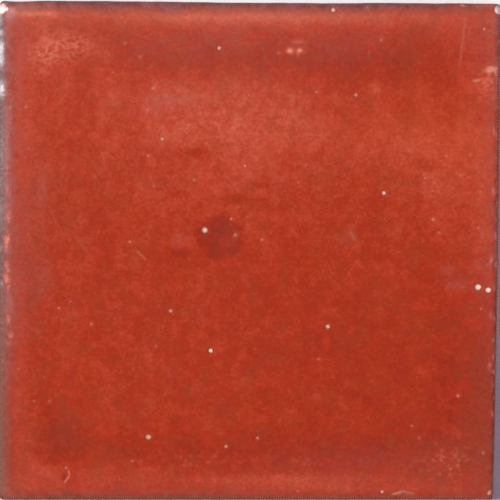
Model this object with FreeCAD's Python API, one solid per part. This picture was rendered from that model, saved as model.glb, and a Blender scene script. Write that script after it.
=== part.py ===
import FreeCAD, Part
import math
import os

from FreeCAD import Vector

# Glazed terracotta floor tile, cut by hand out of a clay slab and fired in one piece.
# Lengths are millimetres. The tile lies face up with its base on Z = 0 and its middle on the Z axis.
# Seen from above with +Y away from the viewer, its sides are called front, right, back and left.

os.makedirs("parts", exist_ok=True)

# Overall sizes, over the base
WIDTH = 154.8
LENGTH = 153.8
THICKNESS = 10.0

# How far the hand-cut outline strays from a true rectangle
LEFT_LEAN = 0.3         # back end of the left side, to the right
RIGHT_LEAN = 2.3        # front end of the right side, to the left
BACK_FALL = 1.0         # right end of the back side, to the front

# How far the base stands out past the face, on each side
FRONT_DRAFT = 0.5
RIGHT_DRAFT = 0.3
BACK_DRAFT = 0.2
LEFT_DRAFT = 1.8

# Softened edges
ARRIS_RADIUS = 1.6      # round the face and down the upright corners
BASE_EDGE_RADIUS = 0.6

# Cushioned face: a flat rim, a shallow hollow all round inside it and a raised middle
RIM_INSET = 5.0         # from the sides to the inner edge of the rim
HOLLOW_INSET = 15.0     # from the sides to the bottom of the hollow
HOLLOW_DEPTH = 0.45
HOLLOW_SHIFT = 2.0      # bottom of the hollow, towards the front
MIDDLE_INSET = 30.0     # from the sides to the raised middle
MIDDLE_DEPTH = 0.12     # middle below the rim
HOLLOW_CORNER = 10.0    # corner radius of the hollow in plan

# Shallow dent in the face, where glaze has pooled
DENT_X = -9.9
DENT_Y = 4.3
DENT_RADIUS = 7.0
DENT_DEPTH = 0.3

# Keying grooves for the mortar, along the base from front to back
GROOVE_PITCH = 18.0
GROOVE_MOUTH = 6.0
GROOVE_FLOOR = 4.4
GROOVE_DEPTH = 1.2
GROOVE_CORNER = 0.5
OUTER_LAND = 8.0        # least flat left between a groove and the side

# Chips knocked out of the arris: place along the side from its corner, length and bite
BACK_LEFT_CHIP_FROM_CORNER = 2.6
BACK_LEFT_CHIP_LENGTH = 3.6
BACK_LEFT_CHIP_BITE = 1.5
BACK_RIGHT_CHIP_FROM_CORNER = 2.2
BACK_RIGHT_CHIP_LENGTH = 3.4
BACK_RIGHT_CHIP_BITE = 1.9
FRONT_RIGHT_CHIP_FROM_CORNER = 1.2
FRONT_RIGHT_CHIP_LENGTH = 4.6
FRONT_RIGHT_CHIP_BITE = 2.1
FRONT_CHIP_FROM_CORNER = 27.5
FRONT_CHIP_LENGTH = 9.0
FRONT_CHIP_BITE = 2.0
LEFT_CHIP_FROM_CORNER = 79.8
LEFT_CHIP_LENGTH = 4.4
LEFT_CHIP_BITE = 1.5
RIGHT_CHIP_FROM_CORNER = 72.0
RIGHT_CHIP_LENGTH = 5.0
RIGHT_CHIP_BITE = 1.4

FRONT_LEFT, FRONT_RIGHT, BACK_RIGHT, BACK_LEFT = range(4)


# Outline

def base_corners():
    """Sharp corners of the cut outline on the base, anticlockwise from the front left."""
    return [
        Vector(-WIDTH / 2, -LENGTH / 2),
        Vector(WIDTH / 2 - RIGHT_LEAN, -LENGTH / 2),
        Vector(WIDTH / 2, LENGTH / 2 - BACK_FALL),
        Vector(-WIDTH / 2 + LEFT_LEAN, LENGTH / 2),
    ]


def outward(along):
    """Unit vector in plan out of the tile, square to a side that runs anticlockwise."""
    return Vector(along.y, -along.x).normalize()


def crossing(point, along, other_point, other_along):
    """Where two lines in plan meet."""
    share = (other_point - point).cross(other_along).z / along.cross(other_along).z
    return point + along * share


def moved_in(points, insets, height):
    """Corners at a height, after each side has moved in by its own inset and kept its direction."""
    sides = []
    for start, end, inset in zip(points, points[1:] + points[:1], insets):
        along = end - start
        sides.append((start - outward(along) * inset, along))
    lifted = Vector(0, 0, height)
    return [crossing(*sides[side - 1], *sides[side]) + lifted for side in range(len(sides))]


def face_corners():
    """Sharp corners of the face, in from the base's by the draft of each side."""
    drafts = (FRONT_DRAFT, RIGHT_DRAFT, BACK_DRAFT, LEFT_DRAFT)
    return moved_in(base_corners(), drafts, THICKNESS)


def flat(points):
    """A flat face with these corners."""
    return Part.Face(Part.makePolygon(points + points[:1]))


def blank():
    """The slab as cut: flat base and face, flat drafted sides."""
    low = base_corners()
    high = face_corners()
    walls = [
        flat([low[side - 1], low[side], high[side], high[side - 1]]) for side in range(len(low))
    ]
    return Part.Solid(Part.Shell(walls + [flat(low), flat(high)]))


def soften(solid):
    """Round the upright corners and the arris round the face, then the edge round the base."""
    upper = [edge for edge in solid.Edges if edge.BoundBox.ZMax > THICKNESS / 2]
    rounded = solid.makeFillet(ARRIS_RADIUS, upper)
    lower = [edge for edge in rounded.Edges if edge.BoundBox.ZMax < BASE_EDGE_RADIUS / 2]
    return rounded.makeFillet(BASE_EDGE_RADIUS, lower)


# Face

def rounded_loop(points, radius):
    """A closed wire through these corners, each turned with an arc of the same radius."""
    edges = []
    ends = []
    for before, corner, after in zip(points[-1:] + points[:-1], points, points[1:] + points[:1]):
        arriving = (corner - before).normalize()
        leaving = (after - corner).normalize()
        reach = radius * math.tan(arriving.getAngle(leaving) / 2)
        start = corner - arriving * reach
        centre = start - outward(arriving) * radius
        middle = centre + (corner - centre).normalize() * radius
        ends.append((start, middle, corner + leaving * reach))
    for (_, _, last_end), (start, middle, end) in zip(ends[-1:] + ends[:-1], ends):
        edges.append(Part.makeLine(last_end, start))
        edges.append(Part.Arc(start, middle, end).toShape())
    return Part.Wire(edges)


def hollow_loop(inset, depth, shift):
    """One contour of the hollow, parallel to the sides and moved to the front by the shift."""
    points = moved_in(face_corners(), [inset] * 4, -depth)
    return rounded_loop([point - Vector(0, shift) for point in points], HOLLOW_CORNER)


def hollow():
    """What the cushioned face leaves out under the flat of the rim.

    From the rim the depth follows a quarter sine wave down to the hollow's bottom, and from there
    half a cosine wave up to the middle. The first contour lies as far over the rim as the
    second lies under it, so that the rim's edge is a clean cut.
    """
    down = HOLLOW_INSET - RIM_INSET
    up = MIDDLE_INSET - HOLLOW_INSET
    loops = []
    for share in (-0.5, 0, 0.5, 1):
        depth = HOLLOW_DEPTH * math.sin(share * math.pi / 2)
        loops.append(hollow_loop(RIM_INSET + down * share, depth, HOLLOW_SHIFT * max(share, 0)))
    for share in (0.5, 1):
        swell = (1 + math.cos(share * math.pi)) / 2
        depth = MIDDLE_DEPTH + (HOLLOW_DEPTH - MIDDLE_DEPTH) * swell
        loops.append(hollow_loop(HOLLOW_INSET + up * share, depth, HOLLOW_SHIFT))
    return Part.makeLoft(loops, True)


def dent():
    """A ball that dips into the middle of the face to the dent's depth and radius."""
    radius = (DENT_RADIUS**2 + DENT_DEPTH**2) / (2 * DENT_DEPTH)
    height = THICKNESS - MIDDLE_DEPTH - DENT_DEPTH + radius
    return Part.makeSphere(radius, Vector(DENT_X, DENT_Y, height))


# Base

def keying_groove(x):
    """One groove: a shallow trough with rounded floor corners, open at front and back."""
    start = -LENGTH / 2 - GROOVE_MOUTH
    trough = flat(
        [
            Vector(x - GROOVE_MOUTH / 2, start, 0),
            Vector(x - GROOVE_FLOOR / 2, start, GROOVE_DEPTH),
            Vector(x + GROOVE_FLOOR / 2, start, GROOVE_DEPTH),
            Vector(x + GROOVE_MOUTH / 2, start, 0),
        ]
    ).extrude(Vector(0, LENGTH + 2 * GROOVE_MOUTH, 0))
    floor = [
        edge
        for edge in trough.Edges
        if edge.BoundBox.ZMin > GROOVE_DEPTH / 2 and edge.BoundBox.YLength > LENGTH
    ]
    return trough.makeFillet(GROOVE_CORNER, floor)


def keying_grooves():
    """The grooves in mirrored pairs, as many as fit, with a land along the middle."""
    room = WIDTH / 2 - OUTER_LAND - GROOVE_MOUTH / 2
    pairs = math.floor(room / GROOVE_PITCH + 0.5)
    places = [GROOVE_PITCH * (pair + 0.5) for pair in range(pairs)]
    return [keying_groove(side * place) for place in places for side in (-1, 1)]


# Chips

def chip(corner, neighbour, distance, length, bite):
    """A shell-shaped scoop out of the arris, on the side from a corner to its neighbour.

    The scoop is a ball that reaches as far down the side as it reaches in on the face.
    """
    points = face_corners()
    along = (points[neighbour] - points[corner]).normalize()
    place = points[corner] + along * distance
    out = outward(along)
    if out.dot(place) < 0:
        out = out * -1
    offset = ((length / 2) ** 2 - bite**2) / (2 * bite)
    radius = math.hypot(length / 2, offset * math.sqrt(2))
    return Part.makeSphere(radius, place + (out + Vector(0, 0, 1)) * offset)


def chips():
    """The chips that the tile has round its face."""
    return [
        chip(
            BACK_LEFT,
            FRONT_LEFT,
            BACK_LEFT_CHIP_FROM_CORNER,
            BACK_LEFT_CHIP_LENGTH,
            BACK_LEFT_CHIP_BITE,
        ),
        chip(
            BACK_RIGHT,
            FRONT_RIGHT,
            BACK_RIGHT_CHIP_FROM_CORNER,
            BACK_RIGHT_CHIP_LENGTH,
            BACK_RIGHT_CHIP_BITE,
        ),
        chip(
            FRONT_RIGHT,
            BACK_RIGHT,
            FRONT_RIGHT_CHIP_FROM_CORNER,
            FRONT_RIGHT_CHIP_LENGTH,
            FRONT_RIGHT_CHIP_BITE,
        ),
        chip(
            FRONT_RIGHT,
            FRONT_LEFT,
            FRONT_CHIP_FROM_CORNER,
            FRONT_CHIP_LENGTH,
            FRONT_CHIP_BITE,
        ),
        chip(FRONT_LEFT, BACK_LEFT, LEFT_CHIP_FROM_CORNER, LEFT_CHIP_LENGTH, LEFT_CHIP_BITE),
        chip(
            FRONT_RIGHT,
            BACK_RIGHT,
            RIGHT_CHIP_FROM_CORNER,
            RIGHT_CHIP_LENGTH,
            RIGHT_CHIP_BITE,
        ),
    ]


# Tile

def tile():
    """The whole tile as one solid."""
    body = soften(blank())
    for removed in [hollow(), dent()] + keying_grooves() + chips():
        body = body.cut(removed)
    return body.Solids[0] if len(body.Solids) == 1 else body


tile().exportStep("parts/tile.step")
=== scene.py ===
import math

import bpy
import numpy as np
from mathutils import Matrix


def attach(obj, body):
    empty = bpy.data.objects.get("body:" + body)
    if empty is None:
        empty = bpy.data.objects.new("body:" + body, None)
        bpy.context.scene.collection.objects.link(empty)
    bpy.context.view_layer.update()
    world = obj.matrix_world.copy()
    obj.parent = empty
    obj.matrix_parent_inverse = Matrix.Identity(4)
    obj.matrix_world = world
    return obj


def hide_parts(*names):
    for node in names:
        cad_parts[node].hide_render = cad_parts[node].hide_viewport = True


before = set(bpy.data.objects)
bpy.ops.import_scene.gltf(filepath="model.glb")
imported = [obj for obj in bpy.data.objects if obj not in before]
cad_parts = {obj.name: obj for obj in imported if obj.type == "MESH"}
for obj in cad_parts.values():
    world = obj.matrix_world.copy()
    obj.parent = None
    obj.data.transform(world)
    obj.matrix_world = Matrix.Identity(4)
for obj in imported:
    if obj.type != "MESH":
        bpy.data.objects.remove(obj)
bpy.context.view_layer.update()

# The cut slab
# One bat of terracotta, rolled out and cut by hand with a knife to a square that is a little out
# of true. The sides spread towards the base, and every edge was softened with a wet finger.
# Lengths are millimetres until the mesh is filled, and +Y is the back of the tile.

MM = 0.001
WIDTH, LENGTH, THICKNESS = 154.8, 153.8, 10.0
LEFT_LEAN, RIGHT_LEAN, BACK_FALL = 0.3, 2.3, 1.0
DRAFTS = np.array([0.5, 0.3, 0.2, 1.8])     # front, right, back and left, over the whole height
ARRIS = 1.6
BASE_EDGE = 0.6
FACE_CORNER = 0.9                           # plan radius of the face's corners inside the arris
RIGHT_BOW = 0.4
BACK_DIP, BACK_END_DIP = 0.25, 0.30
KNIFE_WANDER = 0.16
FRONT_STEADINESS = 0.3                      # share of the wander that the front side has
BASE_CORNERS = np.array([
    [-WIDTH / 2, -LENGTH / 2],
    [WIDTH / 2 - RIGHT_LEAN, -LENGTH / 2],
    [WIDTH / 2, LENGTH / 2 - BACK_FALL],
    [-WIDTH / 2 + LEFT_LEAN, LENGTH / 2],
])


def ripple(x, y, wavelength, seed, waves=16):
    """Smooth random relief, mostly between -1 and 1.

    The sum of cosine waves in random directions and phases, each about one wavelength long,
    divided by the square root of their number.
    """
    random = np.random.default_rng(seed)
    heading = random.uniform(0, math.tau, waves)
    number = math.tau / (wavelength * random.uniform(0.7, 1.5, waves))
    phase = random.uniform(0, math.tau, waves)
    across = x[..., None] * np.cos(heading) + y[..., None] * np.sin(heading)
    return np.cos(across * number + phase).sum(axis=-1) / math.sqrt(waves)


def ease(value, start, end):
    """0 before start, 1 past end, and 3t^2 - 2t^3 between; start may be the higher."""
    t = np.clip((value - start) / (end - start), 0, 1)
    return t * t * (3 - 2 * t)


def cut_lines(height):
    """Outward normals of the four sides, and how far each lies along its normal at a height."""
    along = np.roll(BASE_CORNERS, -1, axis=0) - BASE_CORNERS
    normals = np.stack([along[:, 1], -along[:, 0]], axis=1)
    normals = normals / np.linalg.norm(normals, axis=1, keepdims=True)
    reaches = (normals * BASE_CORNERS).sum(axis=1) - DRAFTS * height / THICKNESS
    return normals, reaches


def cut_corners(height, inset):
    """The corners where neighbouring sides meet, once each side has moved in by the inset."""
    normals, reaches = cut_lines(height)
    pairs = np.stack([np.roll(normals, 1, axis=0), normals], axis=1)
    ends = np.stack([np.roll(reaches, 1), reaches], axis=1) - inset
    return np.linalg.solve(pairs, ends[..., None])[..., 0]


def crowded(cells, crowding):
    """cells + 1 parameters from -1 to 1, closer towards both ends: (1 - c) t + c sin(pi t / 2)."""
    t = np.linspace(-1, 1, cells + 1)
    return (1 - crowding) * t + crowding * np.sin(t * math.pi / 2)


def spread_over(u, v, corners, radius):
    """Plan points over a four-sided sheet, for u across and v along it from -1 to 1.

    The corners share each point bilinearly. A square of side radius at each corner is drawn into
    a quarter disc, s' = s sqrt(1 - t^2 / 2) and t' = t sqrt(1 - s^2 / 2). The right side swells
    as 1 - v^2, the back dips as exp(-((x - 5) / 30)^2) in its middle and as exp(-((x + 70) / 6)^2)
    near its left end, and every side wanders in and out with the knife, the front one least.
    """
    half_u = (corners[1] - corners[0] + corners[2] - corners[3])[0] / 4
    half_v = (corners[3] - corners[0] + corners[2] - corners[1])[1] / 4
    s = np.clip((np.abs(u) - 1) * half_u / radius + 1, 0, 1)
    t = np.clip((np.abs(v) - 1) * half_v / radius + 1, 0, 1)
    u = u - np.sign(u) * s * (1 - np.sqrt(1 - t**2 / 2)) * radius / half_u
    v = v - np.sign(v) * t * (1 - np.sqrt(1 - s**2 / 2)) * radius / half_v
    shares = np.stack([(1 - u) * (1 - v), (1 + u) * (1 - v), (1 + u) * (1 + v), (1 - u) * (1 + v)], -1)
    plan = shares @ corners / 4
    plan[..., 0] += RIGHT_BOW * (1 + u) / 2 * (1 - v**2)
    dips = BACK_DIP * np.exp(-(((plan[..., 0] - 5) / 30) ** 2))
    dips += BACK_END_DIP * np.exp(-(((plan[..., 0] + 70) / 6) ** 2))
    plan[..., 1] -= dips * (1 + v) / 2
    for axis, near, far in ((0, u, plan[..., 1]), (1, v, plan[..., 0])):
        apart = np.where(near > 0, 90.0, 0.0)   # so that opposite sides wander differently
        wander = 0.6 * ripple(far, apart, 24.0, 3 + axis) + 0.4 * ripple(far, apart, 7.0, 5 + axis)
        sway = np.where((near < 0) & (axis == 1), FRONT_STEADINESS, 1.0) * KNIFE_WANDER
        plan[..., axis] -= np.sign(near) * np.abs(near) ** 40 * sway * (0.5 + 0.5 * np.tanh(wander))
    return plan


# The cushioned face
# Beating the clay into its frame left a raised rim, a shallow hollow all round inside it and a
# flat middle with one dent. Shards have been knocked out of the arris where tiles met.

RIM_CREST = 4.5
HOLLOW_INSET, HOLLOW_DRIFT, HOLLOW_REACH = 15.0, 2.0, 6.5
HOLLOW_AT_ENDS, HOLLOW_AT_SIDES = 0.42, 0.2
MIDDLE_INSET, MIDDLE_DROP = 30.0, 0.12
RIM_FALL = 0.05                             # from the rim's crest out to the arris
RING_REACH = 25.0                           # past this the hollow's corners are square
DENT = np.array([-9.9, 4.3])
DENT_RADIUS, DENT_DEPTH = 7.0, 0.3
BEATING, HAND_MARKS, CLAY_GRAIN = 0.035, 0.018, 0.006   # broad, middling and fine unevenness
PIT_LIP = 0.14                              # height of a pit's lip, as a share of its depth
CHIP_ROUGHNESS = 0.025                      # as a share of the bite

# Each chip: place near the side (x, y), length along it, bite in on the face, fall down the side
# and how bare its clay is
CHIPS = (
    (-75.3, 74.1, 3.6, 1.5, 0.8, 1.0), (77.0, 73.5, 3.4, 1.9, 0.45, 1.0),
    (75.0, -75.2, 4.6, 2.1, 0.8, 0.48), (47.3, -76.4, 9.0, 2.0, 2.0, 0.0),
    (-75.5, 3.4, 4.4, 1.5, 1.3, 0.3), (76.2, -4.4, 5.0, 1.4, 1.3, 0.1),
    (-75.5, -0.6, 2.0, 1.2, 1.1, 0.2), (-75.5, -9.2, 3.4, 1.5, 1.3, 0.3),
    (-75.5, -4.3, 1.8, 1.15, 1.0, 0.2), (76.8, 37.8, 1.9, 1.15, 1.1, 0.1),
    (76.6, 20.6, 1.6, 1.1, 1.0, 0.1), (76.5, 14.4, 2.0, 1.15, 1.1, 0.1),
    (75.7, -37.5, 2.1, 1.2, 1.0, 0.3), (75.6, -45.1, 1.9, 1.15, 1.1, 0.1),
    (65.3, 76.0, 3.6, 1.3, 1.1, 0.35), (-58.0, 76.4, 1.9, 1.1, 1.0, 0.1),
    (12.0, -76.4, 2.2, 1.15, 1.1, 0.1), (-31.0, -76.4, 1.7, 1.1, 1.0, 0.1),
)

# Each pit where a bubble burst in the glaze: place (x, y), radius, depth and paleness
PITS = np.array([
    (-13.7, 6.1, 0.85, 0.40, 1.00), (-5.6, 9.5, 0.50, 0.22, 0.70), (-4.4, 4.6, 0.70, 0.25, 0.60),
    (70.2, -11.4, 0.85, 0.40, 1.25), (73.3, -12.3, 0.80, 0.40, 1.25), (71.1, -18.1, 0.40, 0.15, 0.60),
    (-11.9, -30.9, 0.60, 0.30, 1.10), (24.1, -23.5, 0.65, 0.30, 0.95), (-9.3, 62.0, 0.60, 0.30, 0.90),
    (25.7, 73.7, 0.65, 0.25, 0.98), (20.6, 48.5, 0.55, 0.20, 0.60), (32.7, 47.6, 0.65, 0.25, 0.75),
    (40.4, 64.5, 0.50, 0.20, 0.60),
    (72.0, 67.8, 0.50, 0.20, 0.75), (-33.6, 59.3, 0.55, 0.18, 0.40), (-38.2, 63.5, 0.45, 0.15, 0.35),
    (-29.6, 49.7, 0.70, 0.20, 0.55), (-31.4, 43.0, 0.80, 0.15, 0.40), (-21.6, 49.1, 0.45, 0.15, 0.45),
    (-18.8, 38.4, 0.45, 0.18, 0.60), (-26.8, 34.1, 0.60, 0.25, 0.80), (-31.1, 29.0, 0.50, 0.22, 0.70),
    (-68.7, 43.9, 0.45, 0.18, 0.60), (-1.4, 25.8, 0.60, 0.22, 0.70), (-17.0, 21.5, 0.50, 0.20, 0.60),
    (-29.3, 19.6, 0.40, 0.12, 0.35), (60.4, 28.9, 0.50, 0.18, 0.55), (67.7, 29.2, 0.45, 0.18, 0.50),
    (53.9, 22.1, 0.50, 0.18, 0.60), (64.7, 23.0, 0.45, 0.15, 0.50), (41.3, 17.5, 0.60, 0.30, 1.00),
    (56.4, 9.4, 0.65, 0.20, 0.65), (58.2, 5.2, 0.45, 0.15, 0.50), (70.2, 6.8, 0.45, 0.15, 0.50),
    (3.9, 3.1, 0.50, 0.20, 0.60), (-36.7, 2.5, 0.55, 0.22, 0.65), (-24.2, -18.7, 0.60, 0.25, 0.80),
    (-58.5, -17.8, 0.45, 0.18, 0.60), (-48.6, -22.7, 0.50, 0.20, 0.65), (-28.7, -29.5, 0.40, 0.12, 0.40),
    (21.2, -33.5, 0.45, 0.15, 0.40), (64.0, -44.8, 0.55, 0.22, 0.70), (-31.0, -57.4, 0.80, 0.30, 0.90),
    (2.5, -57.7, 0.50, 0.22, 0.75), (-7.2, -60.3, 0.55, 0.25, 0.80), (71.7, -62.3, 0.50, 0.20, 0.55),
    (49.9, -54.0, 0.40, 0.15, 0.50), (52.1, -57.7, 0.40, 0.15, 0.45), (-36.0, -64.8, 0.45, 0.18, 0.50),
    (-56.3, -66.9, 0.45, 0.20, 0.70), (61.6, -67.2, 0.50, 0.18, 0.50), (40.7, -74.2, 0.50, 0.20, 0.90),
    (14.9, -74.0, 0.40, 0.15, 0.50), (-66.1, -46.4, 0.40, 0.12, 0.40), (-61.4, -46.4, 0.40, 0.12, 0.40),
])


def side_distances(x, y):
    """How far each point of the face lies in from the front, right, back and left sides."""
    normals, reaches = cut_lines(THICKNESS)
    return reaches - np.stack([x, y], axis=-1) @ normals.T


def ring_inset(distances):
    """Distance in from the sides, along contours whose corners are round.

    The reach less the length of the two shortfalls: reach - hypot(reach - across, reach - along).
    """
    across = RING_REACH - np.minimum(distances[..., 1], distances[..., 3])
    along = RING_REACH - np.minimum(distances[..., 0], distances[..., 2])
    outside = np.hypot(np.maximum(across, 0), np.maximum(along, 0))
    return RING_REACH - outside - np.minimum(np.maximum(across, along), 0)


def hollow_at(x, y):
    """The hollow's share at each point: a bell across the ring, deepest along front and back."""
    distances = side_distances(x, y)
    inset = ring_inset(distances)
    bell = np.exp(-(((inset - HOLLOW_INSET - HOLLOW_DRIFT * y / LENGTH * 2) / HOLLOW_REACH) ** 2))
    ends, sides = np.abs(y / LENGTH * 2) ** 6, np.abs(x / WIDTH * 2) ** 6
    return bell, ends / (ends + sides + 1e-9), inset


def pit_distances(x, y):
    """Distance from each point to each pit, in radii of that pit."""
    return np.hypot(x[..., None] - PITS[:, 0], y[..., None] - PITS[:, 1]) / PITS[:, 2]


def face_drop(x, y):
    """How far the face lies under the tile's full height.

    Hollow, middle, a rim that falls away to the arris, the dent as (1 - r^2)^1.5, slow unevenness
    left by beating, and each pit as a bell with a low lip round it.
    """
    bell, at_ends, inset = hollow_at(x, y)
    drop = bell * (HOLLOW_AT_SIDES + (HOLLOW_AT_ENDS - HOLLOW_AT_SIDES) * at_ends)
    drop += MIDDLE_DROP * ease(inset, RIM_CREST, MIDDLE_INSET)
    drop += RIM_FALL * ease(inset, RIM_CREST, ARRIS)
    from_dent = ((x - DENT[0]) ** 2 + (y - DENT[1]) ** 2) / DENT_RADIUS**2
    drop += DENT_DEPTH * np.maximum(1 - from_dent, 0) ** 1.5
    drop += BEATING * (1 + ripple(x, y, 34.0, 21)) + HAND_MARKS * (1 + ripple(x, y, 9.0, 22))
    drop += CLAY_GRAIN * ripple(x, y, 3.0, 23)
    away = pit_distances(x, y)
    lip = PIT_LIP * np.exp(-(((away - 1.7) / 0.5) ** 2))
    drop += (PITS[:, 3] * (np.exp(-1.4 * away**2) - lip)).sum(-1)
    return np.maximum(drop, 0)


def drawn_in(x, y):
    """Grid points gathered towards the pits, so that each pit gets small cells.

    Every point moves to each pit by its distance times 0.55 exp(-(distance / 2.2)^2), less near
    the sides, whose points stay where they are.
    """
    across, along = PITS[:, 0] - x[..., None], PITS[:, 1] - y[..., None]
    pull = 0.55 * np.exp(-(across**2 + along**2) / 2.2**2) * np.clip(PITS[:, 4], 0.3, 1)
    held = ease(side_distances(x, y).min(axis=-1), ARRIS + 0.3, ARRIS + 3.5)
    return x + held * (pull * across).sum(-1), y + held * (pull * along).sum(-1)


def knocked_out(points):
    """Points pushed out to the skin of each chip's ball, and how bare the clay is there.

    Each ball stands off the side by ((length / 2)^2 - bite^2) / (2 bite), and over the face by the
    same sum on the fall, so that it cuts the face by the bite and the side by the fall.
    """
    normals, reaches = cut_lines(THICKNESS)
    bare = np.zeros(len(points))
    for number, (x, y, length, bite, fall, bareness) in enumerate(CHIPS):
        side = np.argmin(np.abs(reaches - normals @ (x, y)))
        out = normals[side]
        place = np.array([x, y]) + out * (reaches[side] - out @ (x, y))
        off = ((length / 2) ** 2 - bite**2) / (2 * bite)
        over = ((length / 2) ** 2 - fall**2) / (2 * fall)
        centre = np.array([*(place + out * off), THICKNESS + over])
        away = points - centre
        distance = np.linalg.norm(away, axis=1)
        radius = math.hypot(length / 2, off, over)
        rough = CHIP_ROUGHNESS * bite * ripple(points[:, 0] + points[:, 1], points[:, 2], 1.7, 40 + number)
        inside = distance < radius
        bare = np.maximum(bare, bareness * ease(radius - distance, -0.04, 0.10))
        pushed = centre + away * ((radius + rough) / distance)[:, None]
        points = np.where(inside[:, None], pushed, points)
    return points, bare


# The sides and the ribbed base
# The sides were cut while the clay was leather hard and keep the drag of the blade. The base has
# shallow grooves from front to back that key it to the mortar; they run out at both ends.

GROOVE_PITCH, GROOVE_MOUTH, GROOVE_FLOOR, GROOVE_DEPTH = 18.0, 6.0, 4.4, 1.2
OUTER_LAND = 8.0
GROOVE_PAIRS = math.floor((WIDTH / 2 - OUTER_LAND - GROOVE_MOUTH / 2) / GROOVE_PITCH + 0.5)
GROOVES = GROOVE_PITCH * (np.arange(-GROOVE_PAIRS, GROOVE_PAIRS) + 0.5)
BELT_SPLIT, SKIRT_TOP = 2.5, 1.9            # heights where the fine mesh meets the base's own
BLADE_DRAG, BLADE_SWAY = 0.03, 0.015        # half depths of its furrows and of its slow waves
ARRIS_WEAR = 0.05
BASE_DIMPLES, BASE_RIBS = 0.03, 0.04        # left by the board that the clay lay on


def groove_rise(x):
    """Height of the base over the floor: up the slant of the nearest groove to its flat roof."""
    off_centre = np.abs(x[..., None] - GROOVES).min(axis=-1)
    slant = (GROOVE_MOUTH - GROOVE_FLOOR) / 2
    return GROOVE_DEPTH * ease(off_centre, GROOVE_MOUTH / 2, GROOVE_MOUTH / 2 - slant)


def base_columns():
    """Places across the base: close at each groove's edges and wide over the flats."""
    half_mouth, half_floor = GROOVE_MOUTH / 2, GROOVE_FLOOR / 2
    turns = np.array([0.0, 1.2, half_floor - 0.12, half_floor, half_floor + 0.2, half_floor + 0.4])
    turns = np.append(turns, [half_mouth - 0.2, half_mouth, half_mouth + 0.15])
    around = np.concatenate([-turns[:0:-1], turns])
    lands = np.linspace(half_mouth, GROOVE_PITCH - half_mouth, 9)[1:-1]
    offsets = np.append(around, lands)
    columns = (GROOVES[:, None] + offsets).ravel()
    edge = WIDTH / 2 - BASE_EDGE
    margins = edge - np.array([0.0, 0.35, 0.8, 1.5, 3.0, 5.0, 7.0])
    inner = columns[np.abs(columns) < margins[-1] - 0.6]
    return np.unique(np.round(np.concatenate([-margins, inner, margins]), 4))


def loop_of(rows, columns):
    """Indices round the outline of a grid, anticlockwise from its front left corner."""
    index = np.arange(rows * columns).reshape(rows, columns)
    return np.concatenate([index[0, :-1], index[:-1, -1], index[-1, :0:-1], index[:0:-1, 0]])


def out_of(loop):
    """Unit normals in plan out of a loop that runs anticlockwise."""
    along = np.roll(loop, -1, axis=0) - np.roll(loop, 1, axis=0)
    normals = np.stack([along[:, 1], -along[:, 0]], axis=1)
    return normals / np.linalg.norm(normals, axis=1, keepdims=True)


def draft_at(normals):
    """Draft for each direction: the four sides' drafts, shared by the squares of its parts."""
    parts = np.stack([-normals[:, 1], normals[:, 0], normals[:, 1], -normals[:, 0]], axis=1)
    return np.maximum(parts, 0) ** 2 @ DRAFTS


def side_rows(radius, turns, end, steps):
    """How far out and how far along each row lies: round a quarter circle, then straight on."""
    turn = np.linspace(0, math.pi / 2, turns)[1:]
    straight = np.linspace(radius, end, steps)[1:]
    out = np.append(radius * np.sin(turn), np.full(len(straight), radius))
    return np.column_stack([out, np.append(radius * (1 - np.cos(turn)), straight)])


def blade_drag(loop, height):
    """How far the blade's drag sinks the side: upright furrows that lean a little and fade."""
    x, y = loop[:, 0] + loop[:, 1], loop[:, 0] - loop[:, 1]
    furrows = ripple(x, y, 2.6, 31) * 0.6 + ripple(x, y + 0.4 * height, 1.3, 32) * 0.4
    return BLADE_DRAG * (1 + furrows) + BLADE_SWAY * (1 + ripple(x, y + height * 3, 8.0, 33))


def quads_of(rows, columns, first, turned=False):
    """Four-cornered faces over a grid of points, facing up, or down when turned."""
    index = first + np.arange(rows * columns).reshape(rows, columns)
    faces = np.stack([index[:-1, :-1], index[:-1, 1:], index[1:, 1:], index[1:, :-1]], axis=-1)
    faces = faces.reshape(-1, 4)
    return faces[:, ::-1] if turned else faces


def belt_quads(upper, lower):
    """Four-cornered faces between two loops of as many points, facing outwards."""
    return np.stack([upper, lower, np.roll(lower, -1), np.roll(upper, -1)], axis=1)


def share_round(loop):
    """Each point's share of the way round its loop."""
    steps = np.linalg.norm(np.roll(loop, -1, axis=0) - loop, axis=1)
    return np.concatenate([[0.0], np.cumsum(steps)]) / steps.sum()


def zip_triangles(upper, lower, upper_share, lower_share):
    """Triangles between two loops with unlike points.

    Every edge joins the point of the other loop that its own share of the way round has reached.
    """
    meets_lower = np.searchsorted(lower_share[1:], upper_share[1:], side="left")
    meets_upper = np.searchsorted(upper_share[1:], lower_share[1:], side="right")
    down = [np.roll(upper, -1), upper, lower[meets_lower % len(lower)]]
    up = [lower, np.roll(lower, -1), upper[meets_upper % len(upper)]]
    return np.concatenate([np.stack(down, axis=1), np.stack(up, axis=1)])


# the face sheet
FACE_CELLS = 236
face_u, face_v = np.meshgrid(crowded(FACE_CELLS, 0.45), crowded(FACE_CELLS, 0.45))
face_plan = spread_over(face_u, face_v, cut_corners(THICKNESS, ARRIS), FACE_CORNER)
face_x, face_y = drawn_in(face_plan[..., 0], face_plan[..., 1])
face = np.stack([face_x, face_y, THICKNESS - face_drop(face_x, face_y)], axis=-1).reshape(-1, 3)
face_loop = loop_of(FACE_CELLS + 1, FACE_CELLS + 1)

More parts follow.
